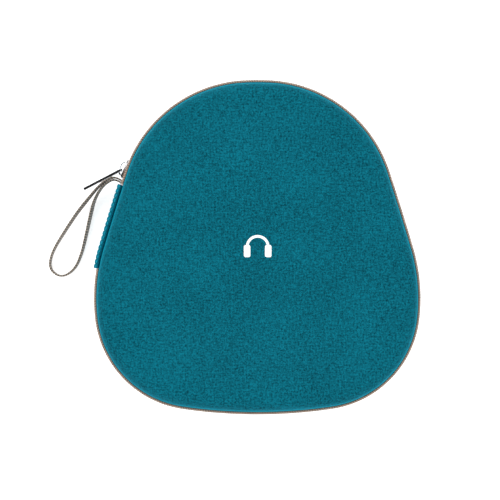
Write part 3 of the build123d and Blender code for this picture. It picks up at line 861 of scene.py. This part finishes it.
class CASE_OT_divider(Operator):
    """Add the padded divider between the ear cups, with its piping"""

    bl_idname = "carry_case.divider"
    bl_label = "Divider"

    def execute(self, context):
        low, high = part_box("divider_cover")
        middle = (low + high) / 2
        end = (high.x - low.x) / 2
        straight = (high.y - low.y) / 2 - end

        def slot_line(radius, up, steps=12):
            """Points round a slot of the divider's plan, at a height."""
            line = []
            for way, first in ((1.0, 0.0), (-1.0, 180.0)):
                for i in range(steps + 1):
                    angle = math.radians(first + 180.0 * i / steps)
                    x = middle.x + radius * math.cos(angle)
                    line.append(Vector((x, middle.y + way * straight + radius * math.sin(angle), up)))
            return line

        # Rings up the padded side and over the crown: distance in from the widest line, and height.
        rings = [(0.9, 0.0), (0.25, 0.8), (0.0, 2.5), (-0.1, 5.0), (-0.1, 7.5), (0.1, 9.6), (0.75, 11.2),
                 (1.25, 11.9), (1.3, 12.4), (1.9, 13.3), (3.2, 14.4), (4.8, 15.1), (6.6, 15.5), (8.4, 15.65)]
        bm = bmesh.new()
        edges = []
        order = bm.verts.layers.int.new("order")
        for inset, up in rings:
            line = slot_line(end - inset * MM, low.z + up * MM)
            if not edges:
                ring = [bm.verts.new(at) for at in line]
                for i, vert in enumerate(ring):
                    vert[order] = i
                edges = [bm.edges.new((ring[i - 1], ring[i])) for i in range(len(ring))]
                foot = bm.faces.new(ring)
                continue
            fresh, edges = extruded(bm, edges)
            for vert in fresh:
                vert.co = line[vert[order]]
        bmesh.ops.holes_fill(bm, edges=edges, sides=0)
        bmesh.ops.recalc_face_normals(bm, faces=bm.faces)
        pad = new_piece(
            "divider_pad", bm, finishes()["lining knit"], "base",
            ("divider_cover", "divider_core"), smooth_angle=60.0,
        )
        mesh = wire("divider_piping", slot_line(end - 1.15 * MM, low.z + 12.15 * MM), 0.75 * MM, closed=True)
        adopt(bpy.data.objects.new("divider_piping", mesh), finishes()["binding grosgrain"],
              "base", ())
        return {"FINISHED"}


class CASE_OT_pocket(Operator):
    """Add the lid's net pocket with its trim and its gathered elastic mouth"""

    bl_idname = "carry_case.pocket"
    bl_label = "Net pocket"

    def execute(self, context):
        net_low, net_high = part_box("pocket_net")
        elastic_low, elastic_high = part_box("pocket_elastic")
        edge_inset = 16.4 * MM
        height = (net_low.z + net_high.z) / 2
        bm = bmesh.new()
        outline = [place(d) @ Vector((0.0, -edge_inset, height)) for d in stops(0.0, ROUND, 4.0 * MM)[:-1]]
        bm.faces.new([bm.verts.new(at) for at in outline])
        whole = bm.verts[:] + bm.edges[:] + bm.faces[:]
        bmesh.ops.bisect_plane(
            bm, geom=whole, plane_co=(0.0, elastic_low.y + 0.5 * MM, 0.0), plane_no=(0, 1, 0), clear_outer=True
        )
        grid = 6.0 * MM
        for axis, first, last in ((0, net_low.x, net_high.x), (1, net_low.y, net_high.y)):
            normal = Vector((axis == 0, axis == 1, 0.0))
            for at in stops(first, last, grid)[1:-1]:
                bmesh.ops.bisect_plane(
                    bm, geom=bm.verts[:] + bm.edges[:] + bm.faces[:], plane_co=normal * at, plane_no=normal
                )
        bmesh.ops.triangulate(bm, faces=[face for face in bm.faces if len(face.verts) > 4])
        flat_area = sum(face.calc_area() for face in bm.faces)
        edge_verts = {vert for edge in bm.edges if edge.is_boundary for vert in edge.verts}
        sag = 1.4 * MM
        half_width = (net_high.x - net_low.x) / 2
        middle_y = (net_low.y + net_high.y) / 2
        half_length = (net_high.y - net_low.y) / 2
        for vert in bm.verts:
            if vert not in edge_verts:
                across = max(0.0, 1.0 - (vert.co.x / half_width) ** 2)
                down = max(0.0, 1.0 - ((vert.co.y - middle_y) / half_length) ** 2)
                vert.co.z -= sag * across * down
        bmesh.ops.recalc_face_normals(bm, faces=bm.faces)
        net = new_piece(
            "net_panel", bm, finishes()["pocket net"], "lid", ("pocket_net",), smooth_angle=0.0
        )

        # Trim: a soft band from the net's edge up to the lining.
        trim = [
            (-13.95, 45.0), (-13.9, 41.5), (-14.0, 38.5), (-14.4, 38.0), (-15.4, 37.8), (-16.5, 38.0),
            (-16.9, 38.5), (-16.8, 41.5), (-16.6, 45.0),
        ]
        trim = [(out * MM, up * MM) for out, up in trim]
        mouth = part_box("pocket_border")[1].y
        half_round = stops(0.0, ROUND / 2, 0.5 * MM)
        right_end = min(half_round, key=lambda d: abs((place(d) @ Vector((0.0, -15.4 * MM, 0.0))).y - mouth))
        bm = bmesh.new()
        sweep(bm, trim, stops(right_end, ROUND - right_end, 2.6 * MM))
        border = new_piece(
            "pocket_trim", bm, finishes()["binding grosgrain"], "lid",
            ("pocket_border",), smooth_angle=50.0,
        )

        # Elastic: a folded band whose cloth gathers in small pleats across it.
        bm = bmesh.new()
        pleat = 3.1 * MM
        spans = stops(elastic_low.x + 1.0 * MM, elastic_high.x - 1.0 * MM, pleat / 6)
        wide = (elastic_low.y, elastic_low.y + 0.5 * MM, elastic_low.y + 2.3 * MM, elastic_low.y + 4.7 * MM,
                elastic_high.y - 0.5 * MM, elastic_high.y)
        edges = []
        order = bm.verts.layers.int.new("order")
        for x in spans:
            wave = math.sin(2.0 * math.pi * x / pleat)
            points = []
            for i, y in enumerate(wide):
                puff = 0.30 * MM if i in (0, len(wide) - 1) else 0.42 * MM
                points.append(Vector((x, y, (elastic_low.z + elastic_high.z) / 2 + puff * wave)))
            if not edges:
                row = [bm.verts.new(at) for at in points]
                for i, vert in enumerate(row):
                    vert[order] = i
                edges = [bm.edges.new(pair) for pair in zip(row, row[1:])]
                continue
            fresh, edges = extruded(bm, edges)
            for vert in fresh:
                vert.co = points[vert[order]]
        bmesh.ops.recalc_face_normals(bm, faces=bm.faces)
        elastic = new_piece(
            "gathered_elastic", bm, finishes()["elastic ribbing"], "lid",
            ("pocket_elastic",), smooth_angle=0.0,
        )
        thick = elastic.modifiers.new("thick", "SOLIDIFY")
        thick.thickness = 0.9 * MM
        thick.offset = 0.0
        return {"FINISHED"}


class CASE_OT_tab(Operator):
    """Add the folded tab that holds the strap's sewn ends"""

    bl_idname = "carry_case.tab"
    bl_label = "Strap tab"

    def execute(self, context):
        low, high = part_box("strap_tab")
        section = [(0.55, low.z / MM + 0.6), (0.6, high.z / MM - 0.6), (0.3, high.z / MM), (-1.5, high.z / MM),
                   (-1.85, high.z / MM - 0.4), (-1.85, low.z / MM + 0.4), (-1.5, low.z / MM), (0.3, low.z / MM)]
        section = [(out * MM, up * MM) for out, up in section]
        bm = bmesh.new()
        sweep(bm, section, stops(SPINE_HIGH + 0.3 * MM, SPINE_HIGH + 3.3 * MM, 0.75 * MM))
        new_piece(
            "strap_anchor", bm, finishes()["spine fabric"], "base", ("strap_tab",), smooth_angle=40.0
        )
        return {"FINISHED"}


class CASE_OT_tapes(Operator):
    """Add the woven tapes of the zip along both shells"""

    bl_idname = "carry_case.tapes"
    bl_label = "Zip tapes"

    def execute(self, context):
        section = [
            (-1.85, 34.0), (-1.3, 34.15), (-0.8, 33.9), (-0.5, 33.3), (-0.4, 32.2), (-0.38, 30.5),
            (-0.4, 28.8), (-0.5, 27.9), (-0.8, 27.2), (-1.35, 27.2), (-1.7, 28.2), (-1.8, 32.0),
        ]
        section = [(out * MM, up * MM) for out, up in section]
        tab = SPINE_HIGH + 0.3 * MM
        low_section = [(out, min(up, 29.7 * MM)) for out, up in section[3:11]]
        end_section = [(out, min(up, 30.2 * MM)) for out, up in section[3:11]]
        runs = (
            ("lid_tape", "lid", "lid", section, ZIP_SPLIT, ZIP_TO, ("lid_zip_tape",)),
            ("base_tape", "base", "base", section, ZIP_FROM, ZIP_TO, ("base_zip_tape",)),
            ("base_tape_end", "base", "base", low_section, tab, ZIP_FROM, ()),
            ("zip_end_band", "base", "lid", end_section, tab, ZIP_SPLIT - 0.4 * MM, ("zip_end_tape",)),
        )
        for name, body, side, outline, start, finish, nodes in runs:
            bm = bmesh.new()
            sweep(bm, turned(outline, side), stops(start, finish, 2.6 * MM))
            new_piece(name, bm, finishes()["zip tape"], body, nodes, smooth_angle=50.0)
        # The lid's tape goes on over the zip's end, above the slider.
        bm = bmesh.new()
        upper = [*section[:5], (-0.38 * MM, 30.8 * MM), (-1.8 * MM, 30.8 * MM)]
        sweep(bm, upper, stops(tab, ZIP_SPLIT, 2.6 * MM))
        new_piece("lid_tape_end", bm, finishes()["zip tape"], "lid", smooth_angle=50.0)
        return {"FINISHED"}


class CASE_OT_coils(Operator):
    """Add the interlocked coils of the zip, wound turn by turn"""

    bl_idname = "carry_case.coils"
    bl_label = "Zip coils"

    def execute(self, context):
        sizes = context.scene.case_sizes
        turn_points = 8
        coil_end = 3.0 * MM + sizes.coil_pitch
        # Half the slit between the coils, where the slider's post travels.
        slit = 0.45 * MM
        nearest = slit + sizes.coil_wire / 2
        runs = (
            ("lid_coil", "lid", 1.0, 0.5, ZIP_SPLIT, ZIP_TO - sizes.coil_pitch, ("lid_zip_coil",)),
            ("base_coil", "base", -1.0, 0.0, ZIP_FROM, ZIP_TO - coil_end, ("base_zip_coil",)),
            ("zip_end_turns", "base", 1.0, 0.5, ZIP_FROM, ZIP_SPLIT - 0.6 * MM, ("zip_end_coil",)),
        )
        for name, body, way, phase, start, finish, nodes in runs:
            first_turn = math.ceil(start / sizes.coil_pitch)
            line = []
            for i in range(int((finish - start) / sizes.coil_pitch * turn_points)):
                turn = i / turn_points
                angle = 2.0 * math.pi * turn
                out = -1.1 * MM + 0.65 * MM * math.cos(angle)
                up = ZIP_PLANE + way * (nearest + 1.0 * MM * (1.0 + math.sin(angle)))
                line.append(place((first_turn + turn + phase) * sizes.coil_pitch) @ Vector((0.0, out, up)))
            mesh = wire(name, line, sizes.coil_wire / 2)
            adopt(bpy.data.objects.new(name, mesh), finishes()["zip coil"], body, nodes)
        return {"FINISHED"}


class CASE_OT_spine(Operator):
    """Add the fabric spine in two halves, one drawn along each shell"""

    bl_idname = "carry_case.spine"
    bl_label = "Spine"

    def execute(self, context):
        section = [
            (1.15, 25.0), (1.18, 27.0), (1.18, 29.0), (1.18, 29.8), (1.18, 30.5), (1.18, 31.2),
            (1.18, 32.2), (1.1, 33.3), (0.85, 34.15), (0.3, 34.5), (-0.5, 34.4), (-1.25, 34.0),
            (-1.75, 33.3), (-1.8, 32.2), (-1.7, 31.4), (-1.2, 30.5), (-1.05, 29.8), (-1.0, 27.0),
            (-1.0, 25.0),
        ]
        section = [(out * MM, up * MM) for out, up in section]
        run = stops(SPINE_LOW + 0.15 * MM, SPINE_HIGH - 0.15 * MM, 1.6 * MM)
        fold = 0.8 * MM
        upper_fold = JOINTS["spine_fold_upper"]["pos_m"][2]
        lower_fold = JOINTS["spine_fold_lower"]["pos_m"][2]
        halves = (
            ("spine_upper", "lid", "spine", "lid", upper_fold - fold, upper_fold + fold,
             ("lid_spine_hem", "spine_cover")),
            ("spine_lower", "base", "base", "spine", lower_fold - fold, lower_fold + fold,
             ("base_spine_hem", "spine_lining")),
        )
        for name, side, first, second, low, high, nodes in halves:
            bm = bmesh.new()
            sweep(bm, turned(section, side), run)
            half = new_piece(name, bm, finishes()["spine fabric"], None, nodes, 55.0)
            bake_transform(half)
        return {"FINISHED"}


class CASE_OT_stitches(Operator):
    """Add the rows of stitches along the tapes and the spine"""

    bl_idname = "carry_case.stitches"
    bl_label = "Stitches"

    def execute(self, context):
        sizes = context.scene.case_sizes
        tape_rows = ((-1.0, 34.0, 0.7 * sizes.stitch, (0.28, 0.5 * MM, 0.3 * MM)),)
        hem_bead = (0.46, 0.42 * MM, 0.3 * MM)
        hem_rows = (
            (0.0, 34.45, 1.25 * sizes.stitch, hem_bead),
            (1.2, 31.9, 1.25 * sizes.stitch, hem_bead),
        )
        rows = (
            ("lid_tape_stitches", "lid", "lid", tape_rows, ZIP_SPLIT, ZIP_TO, "tape thread", "zip_tape"),
            ("base_tape_stitches", "base", "base", tape_rows, ZIP_FROM, ZIP_TO, "tape thread", "zip_tape"),
            ("lid_hem_stitches", "lid", "lid", hem_rows, SPINE_LOW + 1.5 * MM, SPINE_HIGH - 1.5 * MM,
             "stitch thread", "shell_fabric"),
            ("base_hem_stitches", "base", "base", hem_rows, SPINE_LOW + 1.5 * MM, SPINE_HIGH - 1.5 * MM,
             "stitch thread", "shell_fabric"),
        )
        for name, body, side, lines, start, finish, thread, slot in rows:
            bm = bmesh.new()
            for out, up, pitch, (share, deep, tall) in lines:
                ((out_m, up_m),) = turned([(out * MM, up * MM)], side)
                for distance in stops(start, finish, pitch):
                    here = place(distance) @ Matrix.Translation((0.0, out_m, up_m))
                    shape = Matrix.Diagonal((share * pitch, deep, tall, 1.0))
                    bmesh.ops.create_icosphere(bm, subdivisions=1, radius=1.0, matrix=here @ shape)
            new_piece(name, bm, finishes()[thread], body, smooth_angle=0.0)
        return {"FINISHED"}


class CASE_OT_slider(Operator):
    """Add the chrome slider with its plates, post and crown"""

    bl_idname = "carry_case.slider"
    bl_label = "Slider"

    def execute(self, context):
        bm = bmesh.new()
        # Face outline, seen from outside: broad at the nose and narrower at the tail.
        face = [
            (-6.4, -3.6), (-5.2, -4.8), (-1.0, -4.9), (2.0, -4.4), (5.6, -3.4), (6.5, -2.4),
            (6.5, 2.4), (5.6, 3.4), (2.0, 4.4), (-1.0, 4.9), (-5.2, 4.8), (-6.4, 3.6),
        ]
        face = [(x * MM, z * MM) for x, z in face]
        # Plates are drawn lying down and then stood up against the zip.
        block(bm, face, 0.32 * MM, 1.65 * MM, 0.22 * MM, 3)
        block(bm, face, -3.6 * MM, -2.32 * MM, 0.22 * MM, 3)
        for way in (-1.0, 1.0):
            lip = [(-5.6, 3.65 * way), (3.6, 3.65 * way), (3.6, 4.05 * way), (-1.0, 4.75 * way), (-5.6, 4.7 * way)]
            lip = [(x * MM, z * MM) for x, z in lip]
            if way < 0:
                lip.reverse()
            block(bm, lip, -0.05 * MM, 0.6 * MM, 0.12 * MM)
            block(bm, lip, -2.6 * MM, -1.95 * MM, 0.12 * MM)
        # The post at the nose joins the plates through the slit between the coils.
        post = [(-6.0, -0.4), (-2.4, -0.3), (-2.4, 0.3), (-6.0, 0.4)]
        block(bm, [(x * MM, z * MM) for x, z in post], -2.4 * MM, 0.4 * MM, 0.0)
        stand = Matrix(((1, 0, 0, 0), (0, 0, 1, 0), (0, 1, 0, 0), (0, 0, 0, 1)))
        bmesh.ops.transform(bm, matrix=stand, verts=bm.verts)
        # Crown: an arch over the outer plate.
        steps = 14
        arch = []
        for i in range(steps + 1):
            angle = math.pi * i / steps
            arch.append((-5.2 * math.cos(angle), 1.35 + 3.25 * math.sin(angle) ** 0.75))
        for i in range(steps, -1, -1):
            angle = math.pi * i / steps
            arch.append((-3.95 * math.cos(angle), 1.35 + 2.05 * math.sin(angle) ** 0.75))
        block(bm, [(x * MM, y * MM) for x, y in arch], -0.7 * MM, 0.7 * MM, 0.22 * MM)
        # Bend it all round the shoulder and stand it at the zip line's height.
        bend = PLAN_ARCS[1][0]
        for vert in bm.verts:
            vert.co.y += math.sqrt(bend ** 2 - vert.co.x ** 2) - bend
            vert.co.z += ZIP_PLANE
        bmesh.ops.transform(bm, matrix=place(SLIDER), verts=bm.verts)
        bmesh.ops.recalc_face_normals(bm, faces=bm.faces)
        new_piece(
            "zip_slider", bm, finishes()["chrome"], "slider", ("slider_body", "slider_crown"), 35.0
        )
        return {"FINISHED"}


class CASE_OT_pull(Operator):
    """Add the flat bar pull, whose window rides on the slider's crown"""

    bl_idname = "carry_case.pull"
    bl_label = "Pull"

    def execute(self, context):
        joint = JOINTS["pull_swing"]
        pivot = Vector(joint["pos_m"])
        heading = math.radians(207.0)
        droop = math.radians(12.0)
        run = Vector((math.cos(heading) * math.cos(droop), math.sin(heading) * math.cos(droop), -math.sin(droop)))
        side = Vector((-math.sin(heading), math.cos(heading), 0.0))
        wide = side.cross(run)
        stand = Matrix.Translation(pivot) @ Matrix((
            (run.x, wide.x, side.x, 0.0),
            (run.y, wide.y, side.y, 0.0),
            (run.z, wide.z, side.z, 0.0),
            (0.0, 0.0, 0.0, 1.0),
        ))
        bm = bmesh.new()
        columns = (0.2, 1.2, 7.2, 8.4, 25.4, 28.2)
        rows = (-2.5, -1.8, 1.8, 2.5)
        half = 0.9 * MM
        grid = [[bm.verts.new((x * MM, y * MM, -half)) for y in rows] for x in columns]
        for i in range(len(columns) - 1):
            for j in range(len(rows) - 1):
                if i < 2 and j == 1:
                    continue
                bm.faces.new((grid[i][j], grid[i + 1][j], grid[i + 1][j + 1], grid[i][j + 1]))
        grown = bmesh.ops.extrude_face_region(bm, geom=list(bm.faces))["geom"]
        top = [item for item in grown if isinstance(item, bmesh.types.BMVert)]
        bmesh.ops.translate(bm, verts=top, vec=(0, 0, 2.0 * half))
        # The original faces stay below, so the bar is closed; the far corners are rounded off.
        corners = [
            edge for edge in bm.edges
            if all(abs(v.co.x - columns[-1] * MM) < 1e-6 for v in edge.verts)
            and abs(edge.verts[0].co.z - edge.verts[1].co.z) > MM
            and abs(abs(edge.verts[0].co.y) - 2.5 * MM) < 1e-6
        ]
        bmesh.ops.recalc_face_normals(bm, faces=bm.faces)
        bmesh.ops.bevel(
            bm, geom=corners, offset=0.9 * MM, offset_type="OFFSET", segments=4, profile=0.5,
            affect="EDGES", material=-1,
        )
        # The face turned from the case is rounded well over, and the other one only eased.
        for way, rounding, segments in ((-1.0, 0.65, 6), (1.0, 0.15, 2)):
            sharp = []
            for edge in bm.edges:
                in_window = all(
                    1.1 * MM < vert.co.x < 7.3 * MM and abs(vert.co.y) < 1.9 * MM for vert in edge.verts
                )
                on_face = all(way * vert.co.z > 0.9 * half for vert in edge.verts)
                if edge.calc_face_angle(0.0) > math.radians(50) and on_face and (way > 0 or not in_window):
                    sharp.append(edge)
            bmesh.ops.bevel(
                bm, geom=sharp, offset=rounding * MM, offset_type="OFFSET", segments=segments, profile=0.5,
                affect="EDGES", material=-1, clamp_overlap=True,
            )
        bmesh.ops.transform(bm, matrix=stand, verts=bm.verts)
        pin = Matrix.Translation(pivot)
        bmesh.ops.create_cone(
            bm, cap_ends=True, segments=20, radius1=0.6 * MM, radius2=0.6 * MM, depth=4.7 * MM, matrix=pin
        )
        new_piece("pull_tab", bm, finishes()["chrome"], "pull", ("pull_bar",), 35.0)
        return {"FINISHED"}


class CASE_OT_mark(Operator):
    """Print a plain headphone pictogram on the lid"""

    bl_idname = "carry_case.mark"
    bl_label = "Printed mark"

    def execute(self, context):
        low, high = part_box("lid_mark")
        middle = (low + high) / 2
        drop = context.scene.case_sizes.crown_drop
        bm = bmesh.new()
        band_middle = Vector((middle.x, high.y - 7.6 * MM, 0.0))
        steps = 28
        outline = []
        for i in range(steps + 1):
            angle = math.pi * i / steps
            outline.append((band_middle.x + 7.6 * MM * math.cos(angle), band_middle.y + 7.6 * MM * math.sin(angle)))
        for i in range(steps, -1, -1):
            angle = math.pi * i / steps
            outline.append((band_middle.x + 5.9 * MM * math.cos(angle), band_middle.y + 5.9 * MM * math.sin(angle)))
        thin = 0.12 * MM
        surface = DEPTH + 0.1 * MM
        block(bm, outline, surface - thin, surface, 0.0)
        for way in (-1.0, 1.0):
            pad = []
            for corner_x, corner_y, start in ((0.9, 1.6, 0), (-0.9, 1.6, 90), (-0.9, -3.8, 180), (0.9, -3.8, 270)):
                for k in range(5):
                    angle = math.radians(start + 22.5 * k)
                    x = way * 6.75 + corner_x + 1.2 * math.cos(angle)
                    y = corner_y - 1.6 + 1.2 * math.sin(angle)
                    pad.append((band_middle.x + x * MM, band_middle.y + y * MM))
            block(bm, pad, surface - thin + 0.005 * MM, surface + 0.005 * MM, 0.0)
        new_piece("printed_mark", bm, finishes()["print ink"], "lid", ("lid_mark",), 40.0)
        return {"FINISHED"}


class CASE_OT_fittings(Operator):
    """Finish the small fittings that keep their plain machined shape"""

    bl_idname = "carry_case.fittings"
    bl_label = "Fittings"

    def execute(self, context):
        looks = {
            "zip_top_stops": "stop metal", "zip_bottom_stop": "stop metal",
            "spine_board": "board", "divider_hook_tape": "board",
        }
        for node, look in looks.items():
            cad = frame["nodes"][node]
            if not cad.material_slots:
                cad.data.materials.append(None)
            for held in cad.material_slots:
                held.material = finishes()[look]
        return {"FINISHED"}


OPERATORS = (
    CASE_OT_stage,
    CASE_OT_strap,
    CASE_OT_shells,
    CASE_OT_linings,
    CASE_OT_divider,
    CASE_OT_pocket,
    CASE_OT_tab,
    CASE_OT_tapes,
    CASE_OT_coils,
    CASE_OT_spine,
    CASE_OT_stitches,
    CASE_OT_slider,
    CASE_OT_pull,
    CASE_OT_mark,
    CASE_OT_fittings,
)


class CASE_PT_sidebar(Panel):
    """Sidebar panel with the case's sizes, colours and pieces"""

    bl_idname = "CASE_PT_sidebar"
    bl_label = "Carry case"
    bl_space_type = "VIEW_3D"
    bl_region_type = "UI"
    bl_category = "Carry case"

    def draw(self, context):
        column = self.layout.column()
        for group in (context.scene.case_sizes, context.scene.case_colours):
            for name in group.__annotations__:
                column.prop(group, name)
        for operator in OPERATORS:
            column.operator(operator.bl_idname)


CLASSES = (CaseSizes, CaseColours, *OPERATORS, CASE_PT_sidebar)


def register():
    for item in CLASSES:
        bpy.utils.register_class(item)
    bpy.types.Scene.case_sizes = PointerProperty(type=CaseSizes)
    bpy.types.Scene.case_colours = PointerProperty(type=CaseColours)


def unregister():
    del bpy.types.Scene.case_colours
    del bpy.types.Scene.case_sizes
    for item in reversed(CLASSES):
        bpy.utils.unregister_class(item)


def main():
    register()
    for operator in OPERATORS:
        family, action = operator.bl_idname.split(".")
        getattr(getattr(bpy.ops, family), action)()


if __name__ == "__main__":
    main()
